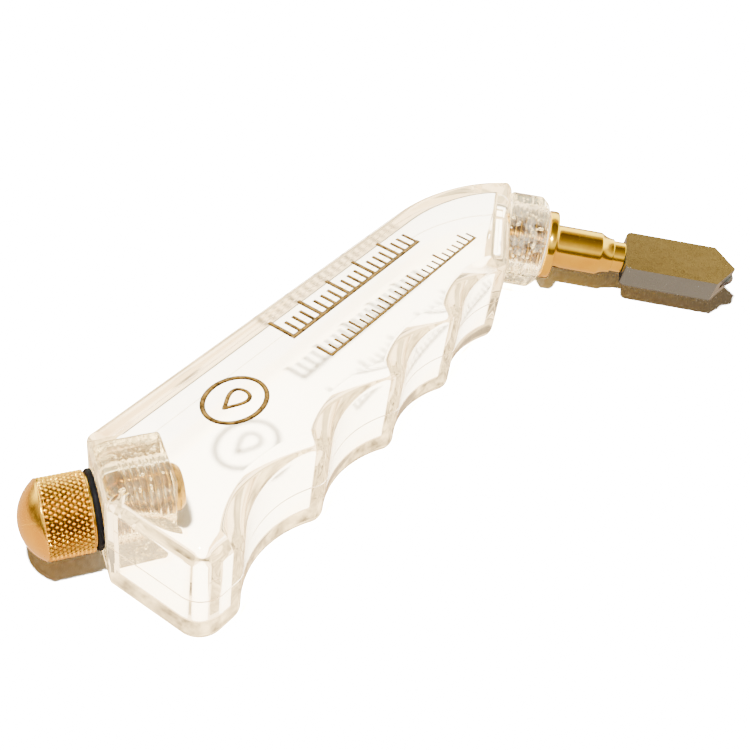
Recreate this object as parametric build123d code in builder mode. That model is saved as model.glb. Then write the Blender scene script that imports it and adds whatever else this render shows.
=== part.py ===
from build123d import *
from math import asin, cos, radians, sin
import os

# Pistol-grip oil-fed glass cutter lying on its left side.
# +X runs from the heel to the nose, +Y towards the back of the hand, +Z up.
# z = 0 is the side face the tool lies on; the origin is under the middle of the grip.

os.makedirs("parts", exist_ok=True)

# Handle
thickness = 20.0
mid = thickness / 2
wall = 3.0
edge_round = 2.6
back_y = 14.4
heel_x = -60.0
ridge_round = 2.7

# Filler end: the stations run outwards from the heel face along the cap's axis
cap_angle = 146.5
heel_face = (-55.99, 8.97)
filler_depth = 10.5
filler_width = 11.4
filler_bore_r = 3.7
screw_r = 3.63
screw_bore_r = 2.2
screw_reach = 12.4
washer_r = 6.0
washer_thick = 0.95
cap_r = 6.1
cap_shoulder_r = 5.5
cap_shoulder = 0.3
knurl_end = 8.05
dome_tip = 11.2

# Nose end: the stations run outwards along the neck's axis
neck_angle = -63.0
neck_ref = (58.28, -14.0)
handle_end = -15.4
barrel_r = 9.5
barrel_front = -7.3
oil_port_r = 2.5
oil_port_back = -20.5
tail_r = 5.0
gasket_r = 6.2
flange_r = 7.0
flange_back = -6.9
flange_front = -4.9
neck_r = 4.4
neck_end = 4.8
taper_r = 3.55
taper_end = 7.4
guide_r = 3.2
guide_back = -2.0
port_r = 1.7
chamber_r = 3.4
chamber_front = -4.0
tail_back = -15.4

# Head stem and valve
stem_r = 3.15
stem_back = -1.2
stem_front = 9.8
pin_r = 1.9
pin_front = 16.7
oil_r = 0.6
rod_r = 1.2
rod_back = -7.4
seal_station = 2.7
seal_ring_r = 2.74
seal_wire_r = 0.42
seat_thick = 0.6
poppet_r = 2.6
poppet_front = -4.7
poppet_back = -6.3
spring_r = 1.9
spring_wire_r = 0.3
spring_turns = 5
plug_front = -13.9

# Head
head_roll = 13.0
head_back = 9.9
head_shoulder = 28.9
head_tip = 32.9
head_half_width = 5.2
head_half_thick = 2.6
head_corner = 1.3
head_bore_r = 1.95
head_bore_end = 17.0
screw_station = 13.2
head_screw_r = 1.2
head_screw_tip_r = 0.55
head_screw_tip_y = 1.5
head_screw_top_y = 5.75
wheel_r = 2.75
wheel_half = 0.55
wheel_proud = 0.45
wheel_station = head_tip + wheel_proud - wheel_r
wheel_bore_r = 0.70
axle_r = 0.65
slot_half = 0.7
slot_r = 3.4

# Axes and planes
cap_dir = Vector(cos(radians(cap_angle)), sin(radians(cap_angle)), 0)
cap_section = Plane(origin=(heel_face[0], heel_face[1], mid), x_dir=cap_dir, z_dir=(0, 0, 1))
cap_axis = Axis(cap_section.origin, cap_dir)
neck_dir = Vector(cos(radians(neck_angle)), sin(radians(neck_angle)), 0)
neck_section = Plane(origin=(neck_ref[0], neck_ref[1], mid), x_dir=neck_dir, z_dir=(0, 0, 1))
neck_axis = Axis(neck_section.origin, neck_dir)
roll_up = Vector(0, 0, 1).rotate(Axis((0, 0, 0), neck_dir), head_roll)
head_section = Plane(origin=neck_section.origin, x_dir=neck_dir, z_dir=roll_up)


def at_neck(station, lateral=0.0):
    """A plan point given by its station along the neck and its offset towards the back."""
    point = neck_section.from_local_coords((station, lateral, 0))
    return (point.X, point.Y)


# Handle outline: the back, the nose end, four finger grooves and the heel
heel_low = (heel_x, 2.9)
heel_high = (-52.4, back_y)
back_end = (30.0, back_y)
back_bend = (47.5, 10.6)
nose_high = at_neck(handle_end, 7.0)
nose_low = at_neck(handle_end, -22.8)
ridge_4 = (11.3, -12.1)
ridge_3 = (-8.8, -13.0)
ridge_2 = (-30.0, -13.5)
ridge_1 = (-52.0, -15.0)
heel_corner = (heel_x, -14.7)

with BuildSketch() as outline:
    with BuildLine():
        Line(heel_low, heel_high)
        Line(heel_high, back_end)
        back_curve = TangentArc(back_end, back_bend, tangent=(1, 0))
        TangentArc(back_bend, nose_high, tangent=back_curve % 1)
        Line(nose_high, nose_low)
        ThreePointArc(nose_low, (21.0, -8.8), ridge_4)
        ThreePointArc(ridge_4, (1.6, -9.8), ridge_3)
        ThreePointArc(ridge_3, (-19.0, -10.1), ridge_2)
        ThreePointArc(ridge_2, (-40.5, -10.5), ridge_1)
        Line(ridge_1, heel_corner)
        Line(heel_corner, heel_low)
    make_face()
    ridges = [ridge_1, ridge_2, ridge_3, ridge_4]
    ridge_points = [v for v in outline.vertices() if (round(v.X, 1), round(v.Y, 1)) in ridges]
    fillet(ridge_points, ridge_round)
    fillet(outline.vertices().sort_by_distance(nose_low)[0], ridge_round)
    fillet(outline.vertices().sort_by_distance(heel_corner)[0], 4.2)
    fillet(outline.vertices().sort_by_distance(nose_high)[0], 1.5)

# Left half: the lower shell, hollow, with rounded outer edges
with BuildPart() as handle_left_half:
    add(outline.sketch)
    extrude(amount=mid)
    fillet(handle_left_half.faces().sort_by(Axis.Z)[0].edges(), edge_round)
    with BuildSketch(Plane.XY.offset(wall)):
        add(outline.sketch)
        offset(amount=-wall)
    extrude(amount=mid - wall, mode=Mode.SUBTRACT)
    # opening for the filler bushing through the heel wall
    with BuildSketch(Plane(origin=cap_section.origin - (0, 0, mid - wall), x_dir=cap_dir, z_dir=(0, 0, 1))):
        with Locations((-filler_depth / 2 + 1, 0)):
            Rectangle(filler_depth + 2, filler_width)
    extrude(amount=mid - wall, mode=Mode.SUBTRACT)
    # oil port from the reservoir through the end wall
    with BuildSketch(Plane(origin=neck_section.from_local_coords((handle_end + 1, 0, 0)), z_dir=-neck_dir)):
        Circle(oil_port_r)
    extrude(amount=handle_end + 1 - oil_port_back, mode=Mode.SUBTRACT)
handle_left_half.part.label = "handle_left_half"
export_step(handle_left_half.part, "parts/handle_left_half.step")

# Right half: the upper shell, the left one's mirror image
with BuildPart() as handle_right_half:
    mirror(handle_left_half.part, about=Plane.XY.offset(mid))
handle_right_half.part.label = "handle_right_half"
export_step(handle_right_half.part, "parts/handle_right_half.step")

# Filler bushing: a clear block glued into the heel, bored for the cap screw
with BuildPart() as filler_bushing:
    with BuildSketch(Plane(origin=cap_section.origin - (0, 0, mid - wall), x_dir=cap_dir, z_dir=(0, 0, 1))):
        with Locations((-filler_depth / 2, 0)):
            Rectangle(filler_depth, filler_width)
    extrude(amount=thickness - 2 * wall)
    with BuildSketch(Plane(origin=cap_section.origin, z_dir=-cap_dir)):
        Circle(filler_bore_r)
    extrude(amount=filler_depth, mode=Mode.SUBTRACT)
filler_bushing.part.label = "filler_bushing"
export_step(filler_bushing.part, "parts/filler_bushing.step")

# Nose bushing: a clear round barrel glued to the end of the handle
with BuildPart() as nose_bushing:
    with BuildSketch(neck_section):
        with BuildLine():
            Polyline(
                (handle_end, tail_r),
                (handle_end, barrel_r),
                (barrel_front - 1.5, barrel_r),
                (barrel_front, barrel_r - 1.5),
                (barrel_front, tail_r),
                (handle_end, tail_r),
            )
        make_face()
    revolve(axis=neck_axis)
nose_bushing.part.label = "nose_bushing"
export_step(nose_bushing.part, "parts/nose_bushing.step")

# Filler cap: smooth dome, knurled skirt and a small shoulder, with a socket for the screw
dome_rise = dome_tip - knurl_end
dome_r = (cap_r**2 + dome_rise**2) / (2 * dome_rise)
dome_half_angle = asin(cap_r / dome_r) / 2
dome_middle = (dome_tip - dome_r + dome_r * cos(dome_half_angle), dome_r * sin(dome_half_angle))
with BuildPart() as filler_cap:
    with BuildSketch(cap_section):
        with BuildLine():
            Polyline(
                (dome_tip, 0),
                (washer_thick + 2.5, 0),
                (washer_thick + 2.5, screw_r),
                (washer_thick, screw_r),
                (washer_thick, cap_shoulder_r),
                (washer_thick + cap_shoulder, cap_shoulder_r),
                (washer_thick + cap_shoulder, cap_r),
                (knurl_end, cap_r),
            )
            ThreePointArc((knurl_end, cap_r), dome_middle, (dome_tip, 0))
        make_face()
    revolve(axis=cap_axis)
filler_cap.part.label = "filler_cap"
export_step(filler_cap.part, "parts/filler_cap.step")

# Cap screw: the hollow threaded stem of the cap
with BuildPart() as cap_screw:
    with BuildSketch(cap_section):
        with BuildLine():
            Polyline(
                (washer_thick + 2.5, 0),
                (washer_thick + 2.5, screw_r),
                (-screw_reach + 0.6, screw_r),
                (-screw_reach, screw_r - 0.6),
                (-screw_reach, screw_bore_r),
                (-2.0, screw_bore_r),
                (-2.0, 0),
                (washer_thick + 2.5, 0),
            )
        make_face()
    revolve(axis=cap_axis)
cap_screw.part.label = "cap_screw"
export_step(cap_screw.part, "parts/cap_screw.step")

# Cap washer, rubber, a little clear of the heel face so that it can turn
with BuildPart() as cap_washer:
    with BuildSketch(cap_section):
        with BuildLine():
            Polyline(
                (0.05, screw_r),
                (0.05, washer_r),
                (washer_thick, washer_r),
                (washer_thick, screw_r),
                (0.05, screw_r),
            )
        make_face()
    revolve(axis=cap_axis)
cap_washer.part.label = "cap_washer"
export_step(cap_washer.part, "parts/cap_washer.step")

# Neck gasket between the flange and the barrel
with BuildPart() as neck_gasket:
    with BuildSketch(neck_section):
        with BuildLine():
            Polyline(
                (barrel_front, tail_r),
                (barrel_front, gasket_r),
                (flange_back, gasket_r),
                (flange_back, tail_r),
                (barrel_front, tail_r),
            )
        make_face()
    revolve(axis=neck_axis)
neck_gasket.part.label = "neck_gasket"
export_step(neck_gasket.part, "parts/neck_gasket.step")

# Neck body: threaded tail, flange, neck and concave taper, bored for the stem and valve
with BuildPart() as neck_body:
    with BuildSketch(neck_section):
        with BuildLine():
            Polyline(
                (taper_end, guide_r),
                (guide_back, guide_r),
                (guide_back, port_r),
                (chamber_front, port_r),
                (chamber_front, chamber_r),
                (tail_back, chamber_r),
                (tail_back, tail_r - 0.5),
                (tail_back + 0.5, tail_r),
                (flange_back, tail_r),
                (flange_back, flange_r - 0.3),
                (flange_back + 0.3, flange_r),
                (flange_front - 0.5, flange_r),
                (flange_front, flange_r - 0.5),
                (flange_front, neck_r + 0.6),
            )
            RadiusArc((flange_front, neck_r + 0.6), (flange_front + 0.6, neck_r), 0.6)
            Line((flange_front + 0.6, neck_r), (neck_end, neck_r))
            ThreePointArc((neck_end, neck_r), (neck_end + 1.1, 3.82), (taper_end, taper_r))
            Line((taper_end, taper_r), (taper_end, guide_r))
        make_face()
    revolve(axis=neck_axis)
neck_body.part.label = "neck_body"
export_step(neck_body.part, "parts/neck_body.step")

# Head stem: slides and seals in the neck, carries the head on a grooved pin, drilled for oil
with BuildPart() as head_stem:
    with BuildSketch(neck_section):
        with BuildLine():
            Polyline(
                (rod_back, 0),
                (rod_back, rod_r),
                (stem_back, rod_r),
                (stem_back, stem_r),
                (seal_station - 0.6, stem_r),
                (seal_station - 0.6, seal_ring_r - seal_wire_r),
                (seal_station + 0.6, seal_ring_r - seal_wire_r),
                (seal_station + 0.6, stem_r),
                (stem_front, stem_r),
                (stem_front, pin_r),
                (screw_station - 0.65, pin_r),
                (screw_station - 0.65, 1.35),
                (screw_station + 0.65, 1.35),
                (screw_station + 0.65, pin_r),
                (pin_front, pin_r),
                (pin_front, oil_r),
                (-3.4, oil_r),
                (-3.4, 0),
                (rod_back, 0),
            )
        make_face()
    revolve(axis=neck_axis)
    # cross hole that lets the oil into the stem at the valve port
    with Locations(neck_section.from_local_coords((-2.9, 0, 0))):
        Cylinder(0.45, 4 * rod_r, mode=Mode.SUBTRACT)
head_stem.part.label = "head_stem"
export_step(head_stem.part, "parts/head_stem.step")

# Stem seal, an O-ring
with BuildPart() as stem_seal:
    with BuildSketch(neck_section):
        with Locations((seal_station, seal_ring_r)):
            Circle(seal_wire_r)
    revolve(axis=neck_axis)
stem_seal.part.label = "stem_seal"
export_step(stem_seal.part, "parts/stem_seal.step")

# Valve seat ring, pressed against the web of the neck body
with BuildPart() as valve_seat:
    with BuildSketch(neck_section):
        with BuildLine():
            Polyline(
                (chamber_front, port_r + 0.1),
                (chamber_front, chamber_r),
                (chamber_front - seat_thick, chamber_r),
                (chamber_front - seat_thick, port_r + 0.1),
                (chamber_front, port_r + 0.1),
            )
        make_face()
    revolve(axis=neck_axis)
valve_seat.part.label = "valve_seat"
export_step(valve_seat.part, "parts/valve_seat.step")

# Valve poppet on the end of the stem's rod
with BuildPart() as valve_poppet:
    with BuildSketch(neck_section):
        with BuildLine():
            Polyline(
                (poppet_back, rod_r),
                (poppet_back, poppet_r - 0.4),
                (poppet_back + 0.4, poppet_r),
                (poppet_front, poppet_r),
                (poppet_front, rod_r),
                (poppet_back, rod_r),
            )
        make_face()
    revolve(axis=neck_axis)
valve_poppet.part.label = "valve_poppet"
export_step(valve_poppet.part, "parts/valve_poppet.step")

# Valve spring, a coil between the plug and the poppet
spring_low = plug_front + spring_wire_r + 0.05
spring_high = poppet_back - spring_wire_r - 0.05
spring_pitch = (spring_high - spring_low) / spring_turns
with BuildPart() as valve_spring:
    coil_start = neck_section.from_local_coords((spring_low, 0, 0))
    with BuildLine() as coil:
        Helix(spring_pitch, spring_high - spring_low, spring_r, center=coil_start, direction=neck_dir)
    with BuildSketch(Plane(origin=coil.line @ 0, z_dir=coil.line % 0)):
        Circle(spring_wire_r)
    sweep(path=coil.line)
valve_spring.part.label = "valve_spring"
export_step(valve_spring.part, "parts/valve_spring.step")

# Spring plug, drilled to let the oil through
with BuildPart() as spring_plug:
    with BuildSketch(Plane(origin=neck_section.from_local_coords((tail_back, 0, 0)), z_dir=neck_dir)):
        Circle(chamber_r)
        Circle(0.9, mode=Mode.SUBTRACT)
        with PolarLocations(2.2, 4):
            Circle(0.5, mode=Mode.SUBTRACT)
    extrude(amount=plug_front - tail_back)
spring_plug.part.label = "spring_plug"
export_step(spring_plug.part, "parts/spring_plug.step")

# Head block: bored for the stem, slotted for the wheel, drilled for the screw and axle
with BuildPart() as head_block:
    with BuildSketch(head_section) as head_outline:
        with BuildLine():
            Polyline(
                (head_back, -head_half_width),
                (head_shoulder, -head_half_width),
                (head_tip, 0),
                (head_shoulder, head_half_width),
                (head_back, head_half_width),
                (head_back, -head_half_width),
            )
        make_face()
        rear_corners = head_outline.vertices().filter_by(lambda v: abs(v.X) < head_back + 0.1)
        fillet(rear_corners, head_corner)
    extrude(amount=head_half_thick, both=True)
    with BuildSketch(Plane(origin=neck_section.from_local_coords((head_back, 0, 0)), z_dir=neck_dir)):
        Circle(head_bore_r)
    extrude(amount=head_bore_end - head_back, mode=Mode.SUBTRACT)
    with BuildSketch(Plane(origin=neck_section.from_local_coords((head_bore_end, 0, 0)), z_dir=neck_dir)):
        Circle(0.5)
    extrude(amount=wheel_station - head_bore_end, mode=Mode.SUBTRACT)
    with BuildSketch(head_section):
        with Locations((wheel_station, 0)):
            Circle(slot_r)
    extrude(amount=slot_half, both=True, mode=Mode.SUBTRACT)
    with BuildSketch(head_section):
        with Locations((wheel_station, 0)):
            Circle(axle_r)
    extrude(amount=head_half_thick, both=True, mode=Mode.SUBTRACT)
    screw_seat = head_section.from_local_coords((screw_station, head_half_width, 0))
    with BuildSketch(Plane(origin=screw_seat, z_dir=-head_section.y_dir)):
        Circle(head_screw_r)
    extrude(amount=head_half_width - 1.0, mode=Mode.SUBTRACT)
head_block.part.label = "head_block"
export_step(head_block.part, "parts/head_block.step")

# Head screw: its tip rides in the groove of the stem's pin
with BuildPart() as head_screw:
    with BuildSketch(head_section) as screw_profile:
        with BuildLine():
            Polyline(
                (screw_station, head_screw_tip_y),
                (screw_station + head_screw_tip_r, head_screw_tip_y),
                (screw_station + head_screw_tip_r, head_bore_r + 0.15),
                (screw_station + head_screw_r, head_bore_r + 0.5),
                (screw_station + head_screw_r, head_screw_top_y - 0.3),
                (screw_station + head_screw_r - 0.3, head_screw_top_y),
                (screw_station, head_screw_top_y),
                (screw_station, head_screw_tip_y),
            )
        make_face()
    revolve(axis=Axis(head_section.from_local_coords((screw_station, 0, 0)), head_section.y_dir))
    driver_slot = head_section.from_local_coords((screw_station, head_screw_top_y, 0))
    with BuildSketch(Plane(origin=driver_slot, x_dir=neck_dir, z_dir=-head_section.y_dir)):
        Rectangle(3 * head_screw_r, 0.4)
    extrude(amount=0.6, mode=Mode.SUBTRACT)
head_screw.part.label = "head_screw"
export_step(head_screw.part, "parts/head_screw.step")

# Cutting wheel with a sharp rim
wheel_section = Plane(
    origin=head_section.from_local_coords((wheel_station, 0, 0)), x_dir=neck_dir, z_dir=head_section.y_dir
)
with BuildPart() as cutting_wheel:
    with BuildSketch(wheel_section):
        with BuildLine():
            Polyline(
                (wheel_bore_r, -wheel_half),
                (wheel_r - 0.35, -wheel_half),
                (wheel_r, 0),
                (wheel_r - 0.35, wheel_half),
                (wheel_bore_r, wheel_half),
                (wheel_bore_r, -wheel_half),
            )
        make_face()
    revolve(axis=Axis(wheel_section.origin, roll_up))
cutting_wheel.part.label = "cutting_wheel"
export_step(cutting_wheel.part, "parts/cutting_wheel.step")

# Wheel axle, a pin pressed through the head
with BuildPart() as wheel_axle:
    with BuildSketch(Plane(origin=wheel_section.origin, z_dir=roll_up)):
        Circle(axle_r)
    extrude(amount=head_half_thick, both=True)
wheel_axle.part.label = "wheel_axle"
export_step(wheel_axle.part, "parts/wheel_axle.step")
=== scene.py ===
import math
import random

import bmesh
import bpy
from mathutils import Matrix, Vector, noise


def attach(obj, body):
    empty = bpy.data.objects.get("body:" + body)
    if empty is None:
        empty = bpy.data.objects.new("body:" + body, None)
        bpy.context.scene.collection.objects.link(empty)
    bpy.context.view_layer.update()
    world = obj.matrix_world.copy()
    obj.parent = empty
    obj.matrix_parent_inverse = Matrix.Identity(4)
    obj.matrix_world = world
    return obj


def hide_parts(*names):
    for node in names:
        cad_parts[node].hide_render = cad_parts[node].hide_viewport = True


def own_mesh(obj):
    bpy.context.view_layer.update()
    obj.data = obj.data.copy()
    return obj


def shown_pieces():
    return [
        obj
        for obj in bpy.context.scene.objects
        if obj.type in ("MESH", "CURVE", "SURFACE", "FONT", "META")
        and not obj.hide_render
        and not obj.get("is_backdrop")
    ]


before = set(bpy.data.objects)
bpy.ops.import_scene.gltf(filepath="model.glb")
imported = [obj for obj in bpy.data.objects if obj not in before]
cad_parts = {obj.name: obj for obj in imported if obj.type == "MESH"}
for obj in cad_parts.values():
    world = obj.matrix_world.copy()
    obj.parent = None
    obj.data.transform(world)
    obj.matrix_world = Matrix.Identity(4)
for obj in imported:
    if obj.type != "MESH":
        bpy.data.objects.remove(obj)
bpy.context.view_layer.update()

MM = 0.001
MID = 10.0          # height of the seam between the two halves of the handle, mm
TOP = 20.0          # upper side face of the handle, mm

# Axes of the two ends, as in the CAD part
CAP_ORIGIN = Vector((-55.99, 8.97, MID))
CAP_DIR = Vector((math.cos(math.radians(146.5)), math.sin(math.radians(146.5)), 0))
NECK_ORIGIN = Vector((58.28, -14.0, MID))
NECK_DIR = Vector((math.cos(math.radians(-63.0)), math.sin(math.radians(-63.0)), 0))


# ---------------------------------------------------------------- camera
def make_camera():
    """The camera at the photograph's viewing angle; its position is in millimetres."""
    azimuth, elevation, roll = (math.radians(a) for a in (27.653, 40.726, -9.842))
    position = Vector((-128.4, -70.1, 131.111))
    forward = Vector((
        math.cos(azimuth) * math.cos(elevation),
        math.sin(azimuth) * math.cos(elevation),
        -math.sin(elevation),
    ))
    level = Vector((math.sin(azimuth), -math.cos(azimuth), 0))
    down = forward.cross(level)
    right = math.cos(roll) * level + math.sin(roll) * down
    below = -math.sin(roll) * level + math.cos(roll) * down
    data = bpy.data.cameras.new("camera")
    data.sensor_width = 36.0
    data.lens = 51.381
    data.clip_start = 0.01
    data.clip_end = 20.0
    camera = bpy.data.objects.new("camera", data)
    bpy.context.scene.collection.objects.link(camera)
    turn = Matrix((right, -below, -forward)).transposed()
    camera.matrix_world = Matrix.Translation(position * MM) @ turn.to_4x4()
    bpy.context.scene.camera = camera


make_camera()


# ---------------------------------------------------------------- node helpers
def add(tree, kind, inputs=None, **settings):
    """A node with its settings and inputs; an input given as a socket is linked."""
    node = tree.nodes.new(kind)
    for key, value in settings.items():
        setattr(node, key, value)
    for key, value in (inputs or {}).items():
        if isinstance(value, bpy.types.NodeSocket):
            tree.links.new(value, node.inputs[key])
        else:
            node.inputs[key].default_value = value
    return node


def rgb(red, green, blue):
    """An opaque colour in linear light."""
    return (red, green, blue, 1.0)


def new_material(name):
    """A material with an empty node tree, and that tree."""
    mat = bpy.data.materials.new(name)
    mat.use_nodes = True
    mat.node_tree.nodes.clear()
    return mat, mat.node_tree


def noise_at(tree, vector, scale, detail=3.0, roughness=0.5):
    """A noise value, mostly between 0.3 and 0.7."""
    inputs = {"Vector": vector, "Scale": scale, "Detail": detail, "Roughness": roughness}
    return add(tree, "ShaderNodeTexNoise", inputs).outputs["Fac"]


def remap(tree, value, low, high, start=0.3, end=0.7):
    """The value moved from start..end to low..high, clamped; the defaults suit a noise."""
    inputs = {"Value": value, "From Min": start, "From Max": end, "To Min": low, "To Max": high}
    return add(tree, "ShaderNodeMapRange", inputs).outputs["Result"]


def math_node(tree, operation, *values):
    """The result of a math node; a value given as a socket is linked."""
    return add(tree, "ShaderNodeMath", dict(enumerate(values)), operation=operation).outputs[0]


def is_past(tree, path, count, least=1):
    """1 where the ray has already made this many turns of the kind that the Light Path output counts."""
    return math_node(tree, "GREATER_THAN", path.outputs[count], least - 0.5)


def mix_shaders(tree, factor, first, second):
    """A Mix Shader node of two shader nodes."""
    node = add(tree, "ShaderNodeMixShader", {0: factor})
    tree.links.new(first.outputs[0], node.inputs[1])
    tree.links.new(second.outputs[0], node.inputs[2])
    return node


def show(tree, shader, kind="ShaderNodeOutputMaterial"):
    """Joins a shader node to a new output node."""
    tree.links.new(shader.outputs[0], add(tree, kind).inputs["Surface"])


def blend_colours(tree, factor, first, second):
    """A colour mix; either colour may be a socket."""
    node = add(tree, "ShaderNodeMix", data_type="RGBA")
    tree.links.new(factor, node.inputs["Factor"])
    for socket, colour in ((node.inputs[6], first), (node.inputs[7], second)):
        if isinstance(colour, bpy.types.NodeSocket):
            tree.links.new(colour, socket)
        else:
            socket.default_value = colour
    return node.outputs[2]


def stretched(tree, scale, turn=0.0):
    """Object coordinates turned in plan by some degrees, then scaled unevenly, for grain and tool marks."""
    where = add(tree, "ShaderNodeTexCoord").outputs["Object"]
    inputs = {
        "Vector": where,
        "Rotation": (0.0, 0.0, math.radians(turn)),
        "Scale": tuple(1.0 / s for s in scale),
    }
    return add(tree, "ShaderNodeMapping", inputs, vector_type="TEXTURE").outputs["Vector"]


def metal(name, deep, bright, rough, grain, bump, anisotropic=0.0, patina=0.0, turn=0.0):
    """Metal with tone variation, stretched grain, polished edges and darker hollows."""
    mat, tree = new_material(name)
    where = add(tree, "ShaderNodeTexCoord").outputs["Object"]
    cloud = noise_at(tree, where, 260.0, 4.0)
    tone = blend_colours(tree, remap(tree, cloud, 0.25, 0.75), deep, bright)
    lines = noise_at(tree, stretched(tree, grain, turn), 1.0, 4.0, 0.6)
    tone = blend_colours(tree, remap(tree, lines, 0.0, 0.35), tone, deep)
    edge = add(tree, "ShaderNodeNewGeometry").outputs["Pointiness"]
    tone = blend_colours(tree, remap(tree, edge, 0.0, 0.5, 0.52, 0.60), tone, bright)
    if patina:
        hollow = add(tree, "ShaderNodeAttribute", attribute_name="hollow").outputs["Fac"]
        tarnish = remap(tree, hollow, 0.0, patina, 0.25, 0.9)
        tone = blend_colours(tree, tarnish, tone, rgb(0.06, 0.022, 0.002))
    smear = noise_at(tree, where, 900.0, 3.0)
    mixed = math_node(tree, "ADD", lines, smear)
    gloss = remap(tree, mixed, rough[0], rough[1], 0.7, 1.3)
    relief = add(tree, "ShaderNodeBump", {"Height": lines, "Strength": bump, "Distance": 0.00004})
    shader = add(tree, "ShaderNodeBsdfPrincipled", {
        "Base Color": tone, "Metallic": 1.0, "Roughness": gloss,
        "Anisotropic": anisotropic, "Normal": relief.outputs["Normal"],
    })
    show(tree, shader)
    return mat


def acrylic(name, tint_low, tint_high, rough, wave, wave_scale, fleck=0.0, milk=0.0, glow=(0.6, 7.0)):
    """Clear acrylic: refracts what is behind it and lets lamp light through, darker where it is steep.

    wave and wave_scale set the slow unevenness of the surface, fleck the share of fine unevenness in it,
    milk the most cement in the bond, and glow the strength of a painted glow that stands for the light of
    endless reflections.
    """
    mat, tree = new_material(name)
    where = add(tree, "ShaderNodeTexCoord").outputs["Object"]
    cloud = noise_at(tree, where, 60.0, 3.0)
    tint = blend_colours(tree, remap(tree, cloud, 0.0, 1.0), tint_low, tint_high)
    slow = noise_at(tree, where, wave_scale, 2.0)
    fine = noise_at(tree, where, wave_scale * 9.0, 3.0)
    height = math_node(tree, "MULTIPLY_ADD", fine, fleck, slow)
    relief = add(tree, "ShaderNodeBump", {"Height": height, "Strength": wave, "Distance": 0.0006})
    gloss = remap(tree, fine, rough[0], rough[1])
    glass = add(tree, "ShaderNodeBsdfGlass", {
        "Color": tint, "Roughness": gloss, "IOR": 1.49, "Normal": relief.outputs["Normal"],
    })
    facing = add(tree, "ShaderNodeLayerWeight", {"Blend": 0.5}).outputs["Facing"]
    steep = math_node(tree, "POWER", facing, 3.0)
    shade = blend_colours(tree, steep, rgb(0.99, 0.98, 0.96), rgb(0.62, 0.53, 0.40))
    passed = add(tree, "ShaderNodeBsdfTransparent", {"Color": shade})
    path = add(tree, "ShaderNodeLightPath")
    whole = mix_shaders(tree, path.outputs["Is Shadow Ray"], glass, passed)
    # a ray reflected inside too often ends in a painted glow in the room's own tone, so that no dead end
    # turns black
    many = is_past(tree, path, "Glossy Depth", 4)
    long = is_past(tree, path, "Ray Depth", 11)
    tired = math_node(tree, "MAXIMUM", many, long)
    streaks = noise_at(tree, stretched(tree, (150.0, 150.0, 420.0)), 1.0, 3.0, 0.6)
    painted_glow = add(tree, "ShaderNodeEmission", {
        "Color": rgb(1.0, 0.76, 0.44), "Strength": remap(tree, streaks, glow[0], glow[1]),
    })
    whole = mix_shaders(tree, tired, whole, painted_glow)
    if milk:
        # cement and trapped air where the pieces are bonded
        grains = noise_at(tree, where, 480.0, 6.0, 0.75)
        cement = {"Color": rgb(0.93, 0.88, 0.76), "Normal": relief.outputs["Normal"]}
        lit = add(tree, "ShaderNodeBsdfDiffuse", cement)
        through = add(tree, "ShaderNodeBsdfTranslucent", cement)
        cloudy = mix_shaders(tree, 0.5, lit, through)
        whole = mix_shaders(tree, remap(tree, grains, 0.0, milk, 0.46, 0.58), whole, cloudy)
    show(tree, whole)
    return mat


def moulded(name, low, high, rough, grain_scale, bump):
    """Rubber and plastic: fine grain, slight colour change and uneven gloss."""
    mat, tree = new_material(name)
    where = add(tree, "ShaderNodeTexCoord").outputs["Object"]
    cloud = noise_at(tree, where, 400.0, 4.0)
    grain = noise_at(tree, where, grain_scale, 3.0, 0.6)
    tone = blend_colours(tree, remap(tree, cloud, 0.0, 1.0), low, high)
    relief = add(tree, "ShaderNodeBump", {"Height": grain, "Strength": bump, "Distance": 0.00005})
    shader = add(tree, "ShaderNodeBsdfPrincipled", {
        "Base Color": tone, "Roughness": remap(tree, grain, rough[0], rough[1]),
        "Specular IOR Level": 0.08, "Normal": relief.outputs["Normal"],
    })
    show(tree, shader)
    return mat


def gold_fill(name):
    """Metallic paint: bright in the middle of the stroke, with painted shade in dark brown along its edges.
    """
    mat, tree = new_material(name)
    where = add(tree, "ShaderNodeTexCoord").outputs["Object"]
    patch = noise_at(tree, where, 700.0, 4.0, 0.65)
    centre = add(tree, "ShaderNodeAttribute", attribute_name="centre").outputs["Fac"]
    dull, bright, edge_shade = rgb(0.030, 0.014, 0.004), rgb(0.36, 0.20, 0.045), rgb(0.022, 0.010, 0.003)
    gold = blend_colours(tree, remap(tree, patch, 0.0, 1.0), dull, bright)
    # painted shade: the stroke turns dark brown towards its edges
    tone = blend_colours(tree, remap(tree, centre, 0.0, 1.0, 0.15, 0.85), edge_shade, gold)
    relief = add(tree, "ShaderNodeBump", {"Height": patch, "Strength": 0.9, "Distance": 0.0002})
    shader = add(tree, "ShaderNodeBsdfPrincipled", {
        "Base Color": tone, "Metallic": 0.9, "Roughness": remap(tree, patch, 0.18, 0.4),
        "Normal": relief.outputs["Normal"],
    })
    show(tree, shader)
    return mat


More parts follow.
